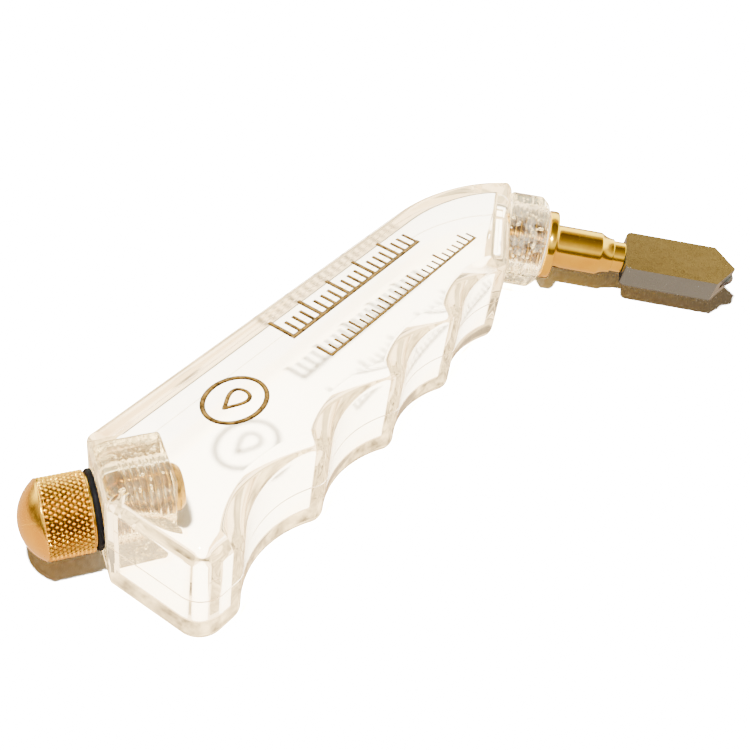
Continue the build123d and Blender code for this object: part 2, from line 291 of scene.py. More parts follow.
# a stronger painted glow that lightens the bonded pieces
BOND_GLOW = (2.5, 20.0)
CLEAR = acrylic("clear_acrylic", rgb(0.995, 0.975, 0.925), rgb(1.0, 0.99, 0.96), (0.0, 0.02), 0.06, 55.0)
SEAM = acrylic("weld_line", rgb(0.70, 0.63, 0.52), rgb(0.80, 0.74, 0.64), (0.25, 0.45), 0.3, 400.0, 0.5)
BUSHING = acrylic(
    "bushing_acrylic", rgb(0.99, 0.975, 0.91), rgb(1.0, 0.995, 0.95), (0.0, 0.03), 0.12, 260.0,
    fleck=0.1, milk=0.07, glow=BOND_GLOW)
BOND_HEEL = acrylic(
    "bonded_heel", rgb(0.99, 0.97, 0.90), rgb(1.0, 0.99, 0.94), (0.0, 0.03), 0.08, 400.0,
    fleck=0.1, milk=0.05, glow=BOND_GLOW)
BOND_NOSE = acrylic(
    "bonded_nose", rgb(0.99, 0.97, 0.89), rgb(1.0, 0.99, 0.94), (0.0, 0.05), 0.12, 400.0,
    fleck=0.1, milk=0.4, glow=BOND_GLOW)
RING = (40.0, 40.0, 9000.0)     # grain of a turned surface: fine along the axis only
CAP_BRASS = metal(
    "cap_brass", rgb(0.68, 0.35, 0.03), rgb(0.98, 0.63, 0.06), (0.14, 0.28), RING, 0.15, patina=0.95)
NECK_BRASS = metal(
    "neck_brass", rgb(0.70, 0.39, 0.02), rgb(0.97, 0.71, 0.04), (0.07, 0.16), RING, 0.12, patina=0.6)
# a darker copy of the brass, painted shade, for the threads that sit inside the clear bushings
BRASS_PAINTED_SHADE = metal(
    "thread_brass_painted_shade", rgb(0.22, 0.13, 0.012), rgb(0.66, 0.46, 0.04), (0.12, 0.3), RING, 0.15, patina=0.9)
RUBBER = moulded(
    "black_rubber", rgb(0.0012, 0.0012, 0.002), rgb(0.004, 0.004, 0.006), (0.55, 0.8), 3000.0, 0.3)
NYLON = moulded("white_nylon", rgb(0.62, 0.58, 0.50), rgb(0.80, 0.78, 0.72), (0.35, 0.5), 2500.0, 0.2)
SPRING = metal(
    "spring_steel", rgb(0.40, 0.40, 0.40), rgb(0.62, 0.62, 0.63), (0.12, 0.22), (300, 300, 300), 0.1)
# the head's steel in two copies: the sides a cool grey, and the broad faces a warm brown that is a painted
# reflection of warm light
STEEL = metal(
    "head_steel", rgb(0.160, 0.200, 0.245), rgb(0.200, 0.250, 0.310), (0.24, 0.40),
    (7000.0, 7000.0, 400.0), 0.6, anisotropic=0.3)
PAINTED_REFLECTION_STEEL = metal(
    "head_face_painted_reflection", rgb(0.205, 0.140, 0.048), rgb(0.258, 0.182, 0.066), (0.25, 0.36),
    (1400.0, 12000.0, 3000.0), 0.45, anisotropic=0.3, turn=-63.0)
DARK_STEEL = metal(
    "screw_steel", rgb(0.12, 0.11, 0.10), rgb(0.25, 0.22, 0.18), (0.3, 0.45), (900, 900, 900), 0.3)
CARBIDE = metal(
    "wheel_carbide", rgb(0.16, 0.16, 0.18), rgb(0.30, 0.30, 0.33), (0.15, 0.3), (900, 900, 900), 0.2)
GOLD = gold_fill("gold_fill")


# ---------------------------------------------------------------- mesh helpers
def finish_piece(obj, body, mat, sharp=35.0):
    """Smooth shading with sharp edges kept, then the material and the body."""
    mesh = obj.data
    mesh.materials.clear()
    mesh.materials.append(mat)
    mesh.shade_smooth()
    mesh.set_sharp_from_angle(angle=math.radians(sharp))
    weighted = obj.modifiers.new("even_normals", "WEIGHTED_NORMAL")
    weighted.keep_sharp = True
    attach(obj, body)
    return obj


def second_material(obj, mat, test):
    """Gives the faces whose every vertex (in millimetres) passes the test their own material."""
    obj.data.materials.append(mat)
    points = obj.data.vertices
    for face in obj.data.polygons:
        if all(test(points[i].co / MM) for i in face.vertices):
            face.material_index = 1


def object_from(bm, name, place=None):
    """A new object from a bmesh in millimetres; place is its frame, also in millimetres."""
    bm.normal_update()
    mesh = bpy.data.meshes.new(name)
    bm.to_mesh(mesh)
    bm.free()
    mesh.transform(Matrix.Scale(MM, 4))
    obj = bpy.data.objects.new(name, mesh)
    bpy.context.scene.collection.objects.link(obj)
    if place is not None:
        place = place.copy()
        place.translation *= MM
        obj.matrix_world = place
    return obj


def axis_frame(origin, direction):
    """A frame at origin whose Z is the direction and whose Y is close to up."""
    up = Vector((0, 0, 1))
    side = up.cross(direction).normalized()
    turn = Matrix((side, direction.cross(side), direction)).transposed()
    return Matrix.Translation(origin) @ turn.to_4x4()


CAP_FRAME = axis_frame(CAP_ORIGIN, CAP_DIR)
NECK_FRAME = axis_frame(NECK_ORIGIN, NECK_DIR)


def rounded(points, radius, steps=3):
    """A closed profile with its corners rounded, apart from corners on the axis."""
    result = []
    count = len(points)
    for i, here in enumerate(points):
        here = Vector(here)
        back = Vector(points[i - 1]) - here
        ahead = Vector(points[(i + 1) % count]) - here
        if here.y < 1e-6 or back.length < 1e-6 or ahead.length < 1e-6:
            result.append(tuple(here))
            continue
        reach = min(radius, back.length * 0.45, ahead.length * 0.45)
        start = here + back.normalized() * reach
        end = here + ahead.normalized() * reach
        for k in range(steps + 1):
            t = k / steps
            result.append(tuple((1 - t) ** 2 * start + 2 * t * (1 - t) * here + t * t * end))
    return result


def rings_to_bmesh(rings, closed):
    """Quads between neighbouring rings of points; closed joins the last ring to the first."""
    bm = bmesh.new()
    rows = [[bm.verts.new(p) for p in ring] for ring in rings]
    pairs = list(zip(rows, rows[1:]))
    if closed:
        pairs.append((rows[-1], rows[0]))
    for a, b in pairs:
        for i in range(len(a)):
            j = (i + 1) % len(a)
            bm.faces.new((a[i], a[j], b[j], b[i]))
    bmesh.ops.remove_doubles(bm, verts=bm.verts, dist=1e-5)
    bmesh.ops.recalc_face_normals(bm, faces=bm.faces)
    return bm


def ring(station, radius, segments):
    """Points round the axis; radius is a number or a function of the angle."""
    points = []
    for i in range(segments):
        angle = 2 * math.pi * i / segments
        r = radius(angle) if callable(radius) else radius
        points.append((r * math.cos(angle), r * math.sin(angle), station))
    return points


def lathe(profile, segments=96):
    """A turned solid from a closed profile of (station, radius) points."""
    return rings_to_bmesh([ring(s, r, segments) for s, r in profile], True)


def thread_rows(start, end, crest, depth, pitch, fade, phase=0.0, per_pitch=10):
    """Rows (station, radius function) of a right-hand thread that runs out at both ends.

    A negative depth cuts outwards from the crest, as in a tapped bore.
    """
    count = max(4, int(round(abs(end - start) / pitch * per_pitch)))
    rows = []
    for k in range(count + 1):
        station = start + (end - start) * k / count
        edge = min(abs(station - start), abs(station - end)) / fade
        cut = depth * min(1.0, edge)

        def radius(angle, station=station, cut=cut):
            turn = (station / pitch - angle / (2 * math.pi) + phase) % 1.0
            # past 1 in the root and below 0 on the crest, so that both end in a flat
            flank = 1.25 - abs(turn - 0.5) * 2.9
            return crest - cut * min(1.0, max(0.0, flank))

        rows.append((station, radius))
    return rows


def mark_hollows(obj, start, end, crest, depth):
    """Stores how deep each vertex lies below the crest of a knurl or thread, for the patina."""
    layer = obj.data.attributes.new("hollow", "FLOAT", "POINT")
    for v, value in zip(obj.data.vertices, layer.data):
        below = (crest - math.hypot(v.co.x, v.co.y) / MM) / depth
        on_pattern = start < v.co.z / MM < end and below < 1.3
        value.value = min(1.0, max(0.0, below)) if on_pattern else 0.0


def rows_to_rings(rows, segments):
    return [ring(s, r, segments) for s, r in rows]


# ---------------------------------------------------------------- handle shell
WALL = 3.0          # thickness of the handle's wall, mm
EDGE_ROUND = 2.6    # radius of the handle's outer edges
RIDGE_ROUND = 2.7   # radius of the ridges between the finger grooves
SMALLEST_ROUND = 0.35   # least radius in the corners of the cavity
EDGE_STEPS = 14     # divisions of the outer rounded edge
FILLET_ROUND = 0.8  # radius of the cavity's fillets


# Opening for the filler block in the heel: depth and half sides
BLOCK_DEPTH = 10.5
BLOCK_WIDE = 5.7
BLOCK_TALL = 7.0


def at_neck(station, lateral):
    """A plan point given by its station along the neck and its offset towards the back."""
    side = Vector((-NECK_DIR.y, NECK_DIR.x))
    return NECK_ORIGIN.to_2d() + NECK_DIR.to_2d() * station + side * lateral


class Edge:
    """A line or an arc of the outline; depth_at gives how deep a point lies and the inward direction."""
    def __init__(self, start, end, centre=None, hollow=False, steps=1):
        self.start, self.end, self.hollow, self.steps = Vector(start), Vector(end), hollow, steps
        self.centre = None if centre is None else Vector(centre)
        along = (self.end - self.start).normalized()
        self.inward = Vector((along.y, -along.x))

    def depth_at(self, point):
        if self.centre is None:
            return (point - self.start).dot(self.inward), self.inward
        outward = point - self.centre
        radius = (self.start - self.centre).length
        if self.hollow:
            return outward.length - radius, outward.normalized()
        return radius - outward.length, -outward.normalized()

    def foot(self, point, inset):
        """The nearest point of this edge, moved inwards by the inset."""
        depth, inward = self.depth_at(point)
        return point - inward * (depth - inset)


def groove(start, through, end):
    """A finger groove: the arc through three points, with the material outside its circle."""
    a, b, c = Vector(start), Vector(through), Vector(end)
    ab, ac = b - a, c - a
    turn = 2 * (ab.x * ac.y - ab.y * ac.x)
    centre = a + Vector((
        ac.y * ab.length_squared - ab.y * ac.length_squared,
        ab.x * ac.length_squared - ac.x * ab.length_squared,
    )) / turn
    return Edge(a, c, centre, True, 40)


def tangent_arc(start, end, inward, steps):
    """A bulging arc from start to end whose centre lies along the inward direction at its start."""
    start, end = Vector(start), Vector(end)
    chord = end - start
    radius = chord.length_squared / (2 * chord.dot(inward))
    return Edge(start, end, start + inward * radius, False, steps)


def swept(centre, start, end, steps):
    """Points on the arc round centre from start up to but not including end."""
    first, last = start - centre, end - centre
    turn = math.atan2(first.x * last.y - first.y * last.x, first.dot(last))
    points = []
    for k in range(steps):
        points.append(centre + Matrix.Rotation(turn * k / steps, 2) @ first)
    return points


def meeting(first, second, depth, start):
    """The point near start that lies at the same depth inside two edges."""
    point = start.copy()
    for _ in range(20):
        h1, g1 = first.depth_at(point)
        h2, g2 = second.depth_at(point)
        det = g1.x * g2.y - g1.y * g2.x
        e1, e2 = depth - h1, depth - h2
        point += Vector(((e1 * g2.y - e2 * g1.y) / det, (g1.x * e2 - g2.x * e1) / det))
    return point


def handle_edges():
    """The outline of the grip as (edge, radius at its start); no radius where edges run on smoothly."""
    back_y = 14.4
    heel_low, heel_high, heel_corner = (-60.0, 2.9), (-52.4, back_y), (-60.0, -14.7)
    back_end, back_bend = (30.0, back_y), (47.5, 10.6)
    nose_high, nose_low = at_neck(-15.4, 7.0), at_neck(-15.4, -22.8)
    ridges = [(11.3, -12.1), (-8.8, -13.0), (-30.0, -13.5), (-52.0, -15.0)]
    hollows = [(21.0, -8.8), (1.6, -9.8), (-19.0, -10.1), (-40.5, -10.5)]
    back_curve = tangent_arc(back_end, back_bend, Vector((0, -1)), 16)
    nose_curve = tangent_arc(back_bend, nose_high, (back_curve.centre - Vector(back_bend)).normalized(), 12)
    edges = [
        (Edge(heel_low, heel_high), 0.8),
        (Edge(heel_high, back_end), 0.8),
        (back_curve, None),
        (nose_curve, None),
        (Edge(nose_high, nose_low), 1.5),
    ]
    start = nose_low
    for middle, ridge in zip(hollows, ridges):
        edges.append((groove(start, middle, ridge), RIDGE_ROUND))
        start = ridge
    edges += [(Edge(ridges[-1], heel_corner), RIDGE_ROUND), (Edge(heel_corner, heel_low), 4.2)]
    return edges


HANDLE_EDGES = handle_edges()


def handle_outline(inset, smallest=0.0):
    """Plan points of the outline moved inwards, the same number of points for every inset."""
    joints = []
    for i, (edge, radius) in enumerate(HANDLE_EDGES):
        before = HANDLE_EDGES[i - 1][0]
        if radius is None:
            point = edge.foot(edge.start, inset)
            joints.append((None, point, point))
            continue
        left = max(radius - inset, smallest, 0.02)
        centre = meeting(before, edge, inset + left, edge.start)
        joints.append((centre, before.foot(centre, inset), edge.foot(centre, inset)))
    points = []
    for i, (edge, radius) in enumerate(HANDLE_EDGES):
        centre, arrive, leave = joints[i]
        if centre is not None:
            points += swept(centre, arrive, leave, 20 if radius > 2 else 10)
        end = joints[(i + 1) % len(joints)][1]
        if edge.centre is None:
            points.append(leave)
        else:
            points += swept(edge.centre, leave, end, edge.steps)
    return points


def cut_away(obj, bm, place):
    """Takes the closed shape in bm out of the object."""
    tool = object_from(bm, obj.name + "_cutter", place)
    cut = obj.modifiers.new("cut", "BOOLEAN")
    cut.object = tool
    cut.operation = "DIFFERENCE"
    cut.solver = "EXACT"
    graph = bpy.context.evaluated_depsgraph_get()
    mesh = bpy.data.meshes.new_from_object(obj.evaluated_get(graph))
    obj.modifiers.clear()
    obj.data = mesh
    bpy.data.objects.remove(tool)


def make_shell():
    """Both halves of the handle welded: rounded outside, hollow inside, with a fine seam at mid-height."""
    seam_width, seam_depth = 0.14, 0.10

    def ring_at(inset, height, smallest=0.0):
        return [(p.x, p.y, height) for p in handle_outline(inset, smallest)]

    def half_profile(round_off, near, far, steps):
        """(inset, height) from the flat face to the seam for a rounded edge."""
        rows = []
        for k in range(steps + 1):
            angle = math.pi / 2 * k / steps
            rows.append((near + round_off * (1 - math.sin(angle)), far + round_off * (1 - math.cos(angle))))
        return rows

    outside = half_profile(EDGE_ROUND, 0.0, 0.0, EDGE_STEPS)
    outside += [(0.0, MID - seam_width), (seam_depth, MID - 0.04)]
    outside += [(inset, TOP - height) for inset, height in reversed(outside)]
    inside = half_profile(FILLET_ROUND, WALL, WALL, 6)
    inside += [(inset, TOP - height) for inset, height in reversed(inside)]
    bm = bmesh.new()
    for profile, smallest, flip in ((outside, 0.0, False), (inside, SMALLEST_ROUND, True)):
        rows = [[bm.verts.new(p) for p in ring_at(i, h, smallest)] for i, h in profile]
        count = len(rows[0])
        faces = [bm.faces.new(rows[0])]
        for a, b in zip(rows, rows[1:]):
            for k in range(count):
                j = (k + 1) % count
                faces.append(bm.faces.new((a[k], b[k], b[j], a[j])))
        faces.append(bm.faces.new(list(reversed(rows[-1]))))
        if flip:
            bmesh.ops.reverse_faces(bm, faces=faces)
    obj = object_from(bm, "handle_shell")

    block = bmesh.new()
    bmesh.ops.create_cube(
        block, size=1.0, matrix=Matrix.Diagonal((2 * BLOCK_WIDE, 2 * BLOCK_TALL, BLOCK_DEPTH + 2.0, 1)))
    bmesh.ops.translate(block, verts=block.verts, vec=(0, 0, 1.0 - BLOCK_DEPTH / 2))
    cut_away(obj, block, CAP_FRAME)
    port = bmesh.new()
    bmesh.ops.create_cone(
        port, cap_ends=True, segments=64, radius1=2.5, radius2=2.5, depth=6.1,
        matrix=Matrix.Translation((0, 0, -17.45)))
    cut_away(obj, port, NECK_FRAME)
    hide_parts("handle_left_half", "handle_right_half")
    finish_piece(obj, "handle", CLEAR, 32.0)
    second_material(obj, SEAM, lambda p: abs(p.z - MID) < seam_width + 0.01)
    return obj


make_shell()


# ---------------------------------------------------------------- bushings
def add_bubbles(bm, count, low, high, keep, sizes, seed):
    """Small closed air bubbles inside a clear block, their faces turned inwards."""
    rng = random.Random(seed)
    made = 0
    while made < count:
        centre = Vector([rng.uniform(a, b) for a, b in zip(low, high)])
        size = rng.uniform(*sizes)
        if not keep(centre, size):
            continue
        ball = bmesh.ops.create_icosphere(
            bm, subdivisions=2, radius=size, matrix=Matrix.Translation(centre))["verts"]
        faces = list({f for v in ball for f in v.link_faces})
        bmesh.ops.reverse_faces(bm, faces=faces)
        made += 1


def make_filler_block():
    """Clear block glued into the heel, with a tapped bore, uneven glued sides and bubbles."""
    gap, power = 0.05, 16.0
    depth, wide, tall = BLOCK_DEPTH, BLOCK_WIDE - gap, BLOCK_TALL - gap

    def side(inset, station):
        def radius(angle):
            c, s = abs(math.cos(angle)), abs(math.sin(angle))
            r = ((c / (wide - inset)) ** power + (s / (tall - inset)) ** power) ** (-1 / power)
            rough = noise.noise(Vector((math.cos(angle) * 3, math.sin(angle) * 3, station * 0.7)))
            return r - 0.03 - 0.05 * rough

        return radius

    segments = 144
    inner_round, outer_round = 0.5, 0.4
    quarter = [k * math.pi / 6 for k in range(4)]
    rows = []
    for angle in quarter:
        inset = inner_round * (1 - math.sin(angle))
        station = -depth + gap + inner_round * (1 - math.cos(angle))
        rows.append((station, side(inset, station)))
    for k in range(1, 8):
        station = -depth + 0.5 + (depth - 1.0) * k / 8
        rows.append((station, side(0.0, station)))
    for angle in quarter:
        inset = outer_round * (1 - math.cos(angle))
        station = -outer_round - gap + outer_round * math.sin(angle)
        rows.append((station, side(inset, station)))
    bore = thread_rows(-0.3, -depth + 0.3, 3.72, -0.24, 1.0, 0.8, 0.5)
    rows += [(-0.05, 4.1), *bore, (-depth + gap, 4.1)]
    bm = rings_to_bmesh(rows_to_rings(rows, segments), True)

    def inside(p, size):
        clear_of_bore = math.hypot(p.x, p.y) > 4.35 + size
        return clear_of_bore and abs(p.x) < wide - 0.3 - size and abs(p.y) < tall - 0.3 - size

    add_bubbles(bm, 150, (-5.4, -6.7, -10.1), (5.4, 6.7, -0.5), inside, (0.06, 0.30), 4)
    obj = object_from(bm, "filler_block", CAP_FRAME)
    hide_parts("filler_bushing")
    finish_piece(obj, "handle", BUSHING, 50.0)
    second_material(obj, BOND_HEEL, lambda p: math.hypot(p.x, p.y) < 4.05)
    return obj


def make_nose_barrel():
    """Clear round barrel at the nose with a tapped bore and bubbles."""
    outer = rounded([(-15.33, 5.6), (-15.33, 9.45), (-8.9, 9.5), (-7.32, 8.0), (-7.32, 5.6)], 0.5, 4)
    bore = thread_rows(-7.5, -15.2, 5.05, -0.14, 1.0, 0.6, 0.5)
    segments = 144
    rings = [ring(s, r, segments) for s, r in outer] + rows_to_rings(bore, segments)
    bm = rings_to_bmesh(rings, True)

    def inside(p, size):
        r = math.hypot(p.x, p.y)
        return 5.8 + size < r < 9.2 - size - max(0.0, p.z + 9.2)

    add_bubbles(bm, 260, (-9, -9, -15.0), (9, 9, -7.8), inside, (0.06, 0.34), 9)
    obj = object_from(bm, "nose_barrel", NECK_FRAME)
    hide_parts("nose_bushing")
    finish_piece(obj, "handle", BUSHING, 50.0)
    second_material(obj, BOND_NOSE, lambda p: math.hypot(p.x, p.y) < 5.55)
    return obj


make_filler_block()
make_nose_barrel()


# ---------------------------------------------------------------- filler cap
def make_cap():
    """Dome and diamond-knurled skirt in one turned piece."""
    radius, start, end, tip = 6.1, 0.95, 8.05, 11.2
    flutes, lead, depth = 42, 1.15, 0.42
    segments = flutes * 10
    rise = tip - end
    ball = (radius ** 2 + rise ** 2) / (2 * rise)

    def knurl(station):
        fade = min(1.0, (station - start - 0.35) / 0.3, (end - 0.12 - station) / 0.3)

        def value(angle):
            around = flutes * angle / (2 * math.pi)
            first = abs((around + station / lead) % 1.0 - 0.5) * 2
            second = abs((around - station / lead) % 1.0 - 0.5) * 2
            cut = max(0.0, (max(first, second) - 0.35) / 0.65)
            return radius - depth * max(0.0, fade) * cut

        return value

    rings = [ring(start + 2.3, 3.70, segments), ring(start, 3.75, segments)]
    rings += [ring(start, 5.35, segments), ring(start + 0.08, 5.5, segments)]
    rings += [ring(start + 0.3, 5.52, segments), ring(start + 0.32, radius - 0.12, segments)]
    steps = 74
    for k in range(steps + 1):
        station = start + 0.4 + (end - start - 0.4) * k / steps
        rings.append(ring(station, knurl(station), segments))
    angle_end = math.asin(radius / ball)
    for k in range(1, 25):
        angle = angle_end * (1 - k / 24)
        station = tip - ball + ball * math.cos(angle)
        rings.append(ring(station, max(1e-7, ball * math.sin(angle)), segments))
    bm = rings_to_bmesh(rings, False)
    bmesh.ops.contextual_create(bm, geom=[e for e in bm.edges if e.is_boundary])
    obj = object_from(bm, "cap_knurled", CAP_FRAME)
    mark_hollows(obj, start + 0.35, end - 0.05, radius, depth)
    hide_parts("filler_cap")
    return finish_piece(obj, "cap", CAP_BRASS, 50.0)


def make_cap_screw():
    """Threaded hollow stem of the cap."""
    segments = 120
    start, end, crest, depth = 0.9, -11.6, 3.62, 0.42
    head = [ring(3.2, 3.55, segments), ring(start, 3.58, segments)]
    thread = rows_to_rings(thread_rows(start, end, crest, depth, 1.0, 0.6), segments)
    inner = [(-12.1, 3.25), (-12.4, 2.9), (-12.4, 2.35), (-12.25, 2.2), (-2.0, 2.2), (-1.2, 0.0)]
    rings = head + thread + [ring(s, r, segments) for s, r in inner]
    bm = rings_to_bmesh(rings, False)
    bmesh.ops.contextual_create(bm, geom=[e for e in bm.edges if e.is_boundary])
    obj = object_from(bm, "cap_thread", CAP_FRAME)
    mark_hollows(obj, end, start, crest, depth)
    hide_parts("cap_screw")
    return finish_piece(obj, "cap", BRASS_PAINTED_SHADE, 40.0)


def make_washer():
    """Soft washer, bulging a little where the cap squeezes it."""
    profile = rounded([(0.05, 3.66), (0.05, 6.0), (0.5, 6.12), (0.94, 6.0), (0.94, 3.66)], 0.22, 4)
    obj = object_from(lathe(profile, 120), "washer_rubber", CAP_FRAME)
    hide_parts("cap_washer")
    return finish_piece(obj, "cap_slider", RUBBER, 60.0)


make_cap()
make_cap_screw()
make_washer()


# ---------------------------------------------------------------- neck and stem
def make_neck():
    """Turned brass neck: threaded tail, flange with eased edges, neck and concave taper."""
    segments = 160
    start, end, crest, depth = -14.9, -7.7, 5.0, 0.42
    tail = rows_to_rings(thread_rows(start, end, crest, depth, 1.0, 0.6), segments)
    front = [(-7.3, 4.7), (-6.9, 4.75), (-6.9, 6.6), (-6.82, 6.86), (-6.62, 7.0), (-5.35, 7.0)]
    front += [(-5.12, 6.93), (-4.98, 6.78), (-4.9, 6.5), (-4.9, 5.1), (-4.83, 4.75), (-4.62, 4.5)]
    front += [(-4.35, 4.41), (-3.9, 4.4), (4.45, 4.4), (4.72, 4.36), (4.9, 4.24)]
    taper_steps = 8
    for k in range(1, taper_steps + 1):
        t = k / taper_steps
        front.append((4.9 + 2.4 * t, 4.24 - 0.72 * (1 - (1 - t) ** 2)))
    front += [(7.38, 3.46), (7.4, 3.3), (7.3, 3.2), (-2.0, 3.2), (-2.0, 1.7), (-4.0, 1.7), (-4.0, 3.4)]
    front += [(-15.35, 3.4), (-15.4, 3.5), (-15.4, 4.4), (-15.3, 4.55)]
    rings = tail + [ring(s, r, segments) for s, r in front]
    bm = rings_to_bmesh(rings, True)
    obj = object_from(bm, "neck_turned", NECK_FRAME)
    mark_hollows(obj, start, end, crest, depth)
    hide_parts("neck_body")
    finish_piece(obj, "handle", NECK_BRASS, 35.0)
    # the threaded tail inside the nose barrel takes the brass darkened with painted shade
    second_material(obj, BRASS_PAINTED_SHADE, lambda p: p.z < -7.5)
    return obj


def make_stem():
    """Turned stem: body, grooved pin for the head screw and the valve rod."""
    points = [(-7.4, 0.0), (-7.4, 1.2), (-1.2, 1.2), (-1.2, 3.15), (2.1, 3.15), (2.1, 2.32), (3.3, 2.32)]
    points += [(3.3, 3.15), (9.8, 3.15), (9.8, 1.9), (12.55, 1.9), (12.55, 1.35), (13.85, 1.35)]
    points += [(13.85, 1.9), (16.7, 1.9), (16.7, 0.6), (-3.4, 0.6), (-3.4, 0.0)]
    obj = object_from(lathe(rounded(points, 0.15, 3), 96), "stem_turned", NECK_FRAME)
    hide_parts("head_stem")
    return finish_piece(obj, "stem", NECK_BRASS, 40.0)


def make_spring():
    """Compression spring with closed ends."""
    low, high, seat = -13.55, -6.65, -13.9
    coil, wire, closed_pitch, open_turns = 1.9, 0.3, 0.62, 4
    per_turn, wire_sides = 36, 12
    open_pitch = (high - low - 2 * closed_pitch) / open_turns
    rings = []
    for k in range(per_turn * (open_turns + 2) + 1):
        turn = k / per_turn
        climb = min(turn, 1.0) * closed_pitch + min(max(turn - 1, 0.0), open_turns) * open_pitch
        climb += max(turn - 1 - open_turns, 0.0) * closed_pitch
        out = Vector((math.cos(2 * math.pi * turn), math.sin(2 * math.pi * turn), 0))
        centre = out * coil + Vector((0, 0, low + climb))
        rings.append([
            tuple(centre + out * wire * math.cos(a) + Vector((0, 0, wire * math.sin(a))))
            for a in (2 * math.pi * i / wire_sides for i in range(wire_sides))
        ])
    bm = rings_to_bmesh(rings, False)
    bmesh.ops.holes_fill(bm, edges=[e for e in bm.edges if e.is_boundary])
    obj = object_from(bm, "valve_coil", NECK_FRAME)
    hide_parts("valve_spring")
    finish_piece(obj, "handle", SPRING, 60.0)
    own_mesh(obj)
    return obj


make_neck()
make_stem()
make_spring()


# ---------------------------------------------------------------- head
def cad_copy(node):
    """A bmesh of a CAD node in millimetres, with its split vertices joined again."""
    bm = bmesh.new()
    bm.from_mesh(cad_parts[node].data)
    bmesh.ops.scale(bm, vec=(1000, 1000, 1000), verts=bm.verts)
    bmesh.ops.remove_doubles(bm, verts=bm.verts, dist=2e-4)
    return bm


def make_head():
    """Ground head block with small eased edges."""
    bm = cad_copy("head_block")
    bmesh.ops.dissolve_limit(bm, angle_limit=math.radians(1.0), verts=bm.verts, edges=bm.edges)
    obj = object_from(bm, "head_ground")
    bevel = obj.modifiers.new("eased_edges", "BEVEL")
    bevel.width = 0.13 * MM
    bevel.segments = 3
    bevel.limit_method = "ANGLE"
    bevel.angle_limit = math.radians(35)
    bevel.use_clamp_overlap = True
    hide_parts("head_block")
    finish_piece(obj, "head", STEEL, 35.0)
    # the broad faces take the steel with the painted warm reflection
    obj.data.materials.append(PAINTED_REFLECTION_STEEL)
    for face in obj.data.polygons:
        if abs(face.normal.z) > 0.8:
            face.material_index = 1
    return obj


make_head()

for node, mat in {
    "neck_gasket": NYLON,
    "stem_seal": RUBBER,
    "valve_seat": RUBBER,
    "valve_poppet": NECK_BRASS,
    "spring_plug": NECK_BRASS,
    "head_screw": DARK_STEEL,
    "cutting_wheel": CARBIDE,
    "wheel_axle": PAINTED_REFLECTION_STEEL,
}.items():
    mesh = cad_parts[node].data
    mesh.materials.clear()
    mesh.materials.append(mat)


# ---------------------------------------------------------------- gold-filled marks
def stroke(bm, layer, path, width, closed=False):
    """A flat-topped paint stroke along a path on the upper face, sloping down to the face at its edges."""
    # (offset across, height, centre value); the centre value, 0 at the edges, sets where the gold gets its
    # painted shade
    offsets = [(-0.5, 0.0, 0.0), (-0.40, 0.05, 0.25), (0.0, 0.08, 1.0), (0.40, 0.05, 0.25), (0.5, 0.0, 0.0)]
    count = len(path)
    rows = []
    for i, point in enumerate(path):
        here = Vector(point)
        before = Vector(path[i - 1]) if (i or closed) else here
        after = Vector(path[(i + 1) % count]) if (i < count - 1 or closed) else here
        along = (after - before).normalized()
        across = Vector((-along.y, along.x))
        row = []
        for offset, height, value in offsets:
            p = here + across * offset * width
            vert = bm.verts.new((p.x, p.y, TOP + 0.005 + height))
            vert[layer] = value
            row.append(vert)
        rows.append(row)
    pairs = list(zip(rows, rows[1:])) + ([(rows[-1], rows[0])] if closed else [])
    for a, b in pairs:
        for k in range(len(offsets) - 1):
            bm.faces.new((a[k], b[k], b[k + 1], a[k + 1]))


def make_marks():
    """Two rows of plain graduation ticks and a drop in a ring, in place of any lettering."""
    bm = bmesh.new()
    layer = bm.verts.layers.float.new("centre")

    def line(start, end, width, steps):
        (x0, y0), (x1, y1) = start, end
        path = [(x0 + (x1 - x0) * k / steps, y0 + (y1 - y0) * k / steps) for k in range(steps + 1)]
        stroke(bm, layer, path, width)

    def tick_row(first, pitch, count, base, every, long_tick, short_tick):
        """Upright ticks from a base line; each tick is (height, stroke width)."""
        for k in range(count):
            tall, width = short_tick if k % every else long_tick
            x = first + pitch * k
            line((x, base), (x, base + tall), width, 6)

    tick_row(-15.3, 2.0, 20, 5.1, 4, (5.2, 0.95), (3.4, 0.8))
    line((-15.8, 5.1), (23.2, 5.1), 0.85, 24)
    tick_row(-14.8, 1.8, 27, -2.2, 5, (3.0, 0.65), (2.0, 0.55))
    line((-15.1, -2.2), (32.2, -2.2), 0.6, 24)
    centre = Vector((-33.4, 2.5))
    ring_path = []
    ring_points, drop_points = 72, 48
    for k in range(ring_points):
        t = 2 * math.pi * k / ring_points
        ring_path.append((centre.x + 5.6 * math.cos(t), centre.y + 4.3 * math.sin(t)))
    stroke(bm, layer, ring_path, 0.85, True)
    drop_path = []
    for k in range(drop_points):
        t = 2 * math.pi * k / drop_points
        reach = math.sin(t) * math.sin(t / 2) ** 1.6
        drop_path.append((centre.x - 2.6 * math.cos(t), centre.y + 2.2 * reach))
    stroke(bm, layer, drop_path, 0.7, True)
    bmesh.ops.recalc_face_normals(bm, faces=bm.faces)
    for f in bm.faces:
        if f.normal.z < 0:
            f.normal_flip()
    obj = object_from(bm, "gold_marks")
    return finish_piece(obj, "handle", GOLD, 60.0)


make_marks()


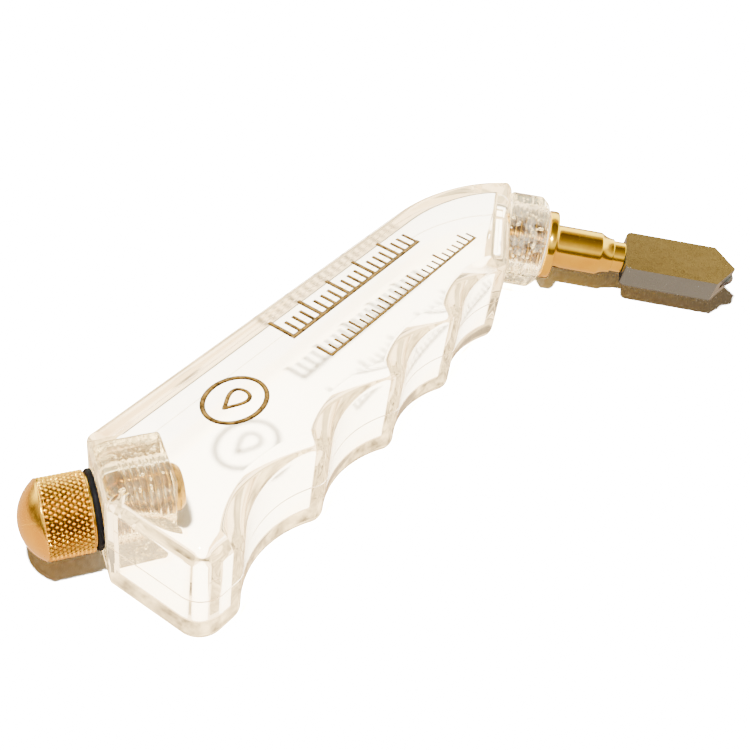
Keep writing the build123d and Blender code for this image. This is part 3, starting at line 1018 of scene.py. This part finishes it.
# ---------------------------------------------------------------- stage
def make_floor():
    """Pale table without gloss; it looks dimmer in the metal than it does to the camera."""
    half_side, drop = 3000.0, 0.12
    bm = bmesh.new()
    bmesh.ops.create_grid(bm, x_segments=8, y_segments=8, size=half_side)
    for v in bm.verts:
        v.co.z = -drop
    floor = object_from(bm, "table_top")
    mat, tree = new_material("table_white")
    where = add(tree, "ShaderNodeTexCoord").outputs["Object"]
    cloud = noise_at(tree, where, 4.0, 3.0)
    pale, paler = rgb(0.90, 0.885, 0.87), rgb(0.92, 0.915, 0.91)
    tone = blend_colours(tree, remap(tree, cloud, 0.0, 1.0), pale, paler)
    plain = add(tree, "ShaderNodeBsdfPrincipled", {
        "Base Color": tone, "Roughness": 0.5, "Specular IOR Level": 0.0,
    })
    path = add(tree, "ShaderNodeLightPath")
    in_metal, in_plastic, in_matte = rgb(0.049, 0.032, 0.019), rgb(0.185, 0.146, 0.096), rgb(0.30, 0.26, 0.21)
    shade = blend_colours(tree, is_past(tree, path, "Transmission Depth"), in_metal, in_plastic)
    shade = blend_colours(tree, is_past(tree, path, "Diffuse Depth"), shade, in_matte)
    dim = add(tree, "ShaderNodeBsdfDiffuse", {"Color": shade})
    mirrored = is_past(tree, path, "Glossy Depth")
    both = mix_shaders(tree, mirrored, plain, dim)
    # from 0.25 m to 0.9 m out the table runs into the white of the background
    reach = add(tree, "ShaderNodeVectorMath", {0: where}, operation="LENGTH").outputs["Value"]
    beyond = remap(tree, reach, 0.0, 1.0, 0.25, 0.9)
    haze = add(tree, "ShaderNodeEmission", {"Color": rgb(1.0, 0.99, 0.98), "Strength": 22.0})
    not_mirrored = math_node(tree, "MULTIPLY_ADD", mirrored, -1.0, 1.0)
    whole = mix_shaders(tree, math_node(tree, "MULTIPLY", beyond, not_mirrored), both, haze)
    show(tree, whole)
    floor.data.materials.append(mat)
    floor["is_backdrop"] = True
    return floor


def ramp_of(tree, value, stops):
    """A colour ramp with these (position, red, green, blue) stops."""
    node = add(tree, "ShaderNodeValToRGB", {"Fac": value})
    elements = node.color_ramp.elements
    while len(elements) < len(stops):
        elements.new(0.5)
    for element, stop in zip(elements, stops):
        element.position = stop[0]
        element.color = rgb(*stop[1:])
    return node.outputs["Color"]


def make_world():
    """White to the camera, a studio with two soft panels to the metal, an even warm room to the acrylic."""
    camera_white, matte_glow = rgb(22.0, 21.8, 21.6), rgb(0.20, 0.145, 0.08)
    world = bpy.data.worlds.new("studio")
    bpy.context.scene.world = world
    world.cycles.sampling_method = "NONE"
    world.use_nodes = True
    tree = world.node_tree
    tree.nodes.clear()
    direction = add(tree, "ShaderNodeTexCoord").outputs["Generated"]
    height = add(tree, "ShaderNodeSeparateXYZ", {0: direction}).outputs["Z"]
    behind = ramp_of(tree, height, [
        (0.0, 0.6, 0.45, 0.3), (0.16, 1.6, 1.35, 0.9), (0.30, 5.3, 5.2, 3.4), (0.66, 4.8, 4.6, 3.0),
        (0.77, 1.0, 0.80, 0.52), (0.87, 0.85, 0.64, 0.38), (0.93, 0.16, 0.11, 0.06), (1.0, 0.25, 0.18, 0.1),
    ])
    front = ramp_of(tree, height, [
        (0.0, 0.42, 0.28, 0.16), (0.10, 0.20, 0.135, 0.07), (0.26, 0.22, 0.145, 0.08), (0.42, 1.3, 1.05, 0.8),
        (0.55, 2.0, 1.75, 1.45), (0.70, 1.2, 0.95, 0.65), (0.90, 0.55, 0.40, 0.24), (1.0, 0.25, 0.18, 0.1),
    ])
    view_ahead = {0: direction, 1: (0.886, 0.464, 0.0)}
    away = add(tree, "ShaderNodeVectorMath", view_ahead, operation="DOT_PRODUCT")
    side = remap(tree, away.outputs["Value"], 0.0, 1.0, -0.15, 0.15)
    panels = blend_colours(tree, side, front, behind)
    path = add(tree, "ShaderNodeLightPath")
    room = ramp_of(tree, height, [(0.0, 1.6, 1.25, 0.80), (0.5, 0.55, 0.42, 0.26), (1.0, 2.1, 1.75, 1.25)])
    seen = blend_colours(tree, is_past(tree, path, "Transmission Depth"), panels, room)
    seen = blend_colours(tree, is_past(tree, path, "Diffuse Depth"), seen, matte_glow)
    seen = blend_colours(tree, path.outputs["Is Camera Ray"], seen, camera_white)
    sky = add(tree, "ShaderNodeBackground", {"Color": seen, "Strength": 1.0})
    show(tree, sky, "ShaderNodeOutputWorld")


def make_key(name, power, lit):
    """A small soft key lamp above the camera, without falloff, that lights only the objects given.

    For light that goes on from a matte surface it has only a quarter of its strength.
    """
    data = bpy.data.lights.new(name, "POINT")
    data.energy = power
    data.shadow_soft_size = 0.007
    data.color = (1.0, 0.985, 0.96)
    data.use_nodes = True
    tree = data.node_tree
    tree.nodes.clear()
    path = add(tree, "ShaderNodeLightPath")
    strength = remap(tree, is_past(tree, path, "Diffuse Depth"), 1.0, 0.25, 0.0, 1.0)
    steady = add(tree, "ShaderNodeLightFalloff", {"Strength": strength}).outputs["Constant"]
    show(tree, add(tree, "ShaderNodeEmission", {"Strength": steady}), "ShaderNodeOutputLight")
    key = bpy.data.objects.new(name, data)
    bpy.context.scene.collection.objects.link(key)
    key.location = Vector((-115.0, -28.0, 230.0)) * MM
    key.visible_transmission = False
    receivers = bpy.data.collections.new(name + "_lights")
    for obj in lit:
        receivers.objects.link(obj)
    key.light_linking.receiver_collection = receivers


floor = make_floor()
make_world()
make_key("table_key", 1700.0, [floor])
make_key("tool_key", 150.0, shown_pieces())
